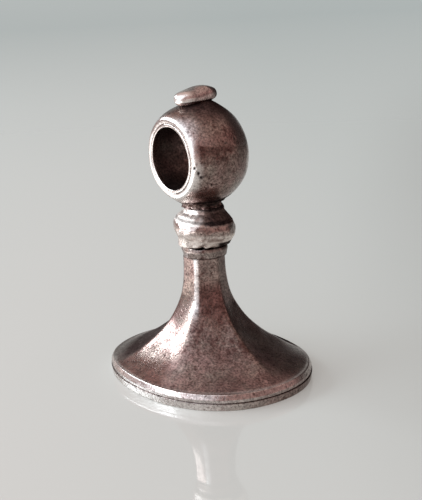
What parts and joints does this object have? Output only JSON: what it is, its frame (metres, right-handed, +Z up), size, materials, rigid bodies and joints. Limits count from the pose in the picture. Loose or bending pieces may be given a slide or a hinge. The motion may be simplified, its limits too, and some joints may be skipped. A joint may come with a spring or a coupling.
{
  "type": "wax seal stamp",
  "caption": "Hand-held wax seal: an oval engraved die on a flared six-sided stem, with a collar and a pierced ball that hangs from a ribbon or ring.",
  "frame": {"origin": "middle of the sealing face, which the seal stands on", "axes": "+Z up the stem, +X along the long way of the oval die, +Y through the hole of the ball"},
  "size_m": [0.0222, 0.0178, 0.0282],
  "materials": {
    "engraved_silver": "engraved and worn, darker in the cuts",
    "toned_silver": "old silver toned brown, satin with worn edges",
    "worn_silver": "old silver rubbed bright",
    "grimed_silver": "old silver, dark with grime and solder"
  },
  "bodies": {
    "root": {"seal_die": "engraved_silver", "flared_shank": "toned_silver", "ferrule_ring": "toned_silver", "collar_bead": "toned_silver", "neck_ring": "grimed_silver", "pierced_ball": "toned_silver", "hole_liner": "worn_silver", "finial_button": "worn_silver", "core_pin": "grimed_silver"}
  },
  "joints": []
}
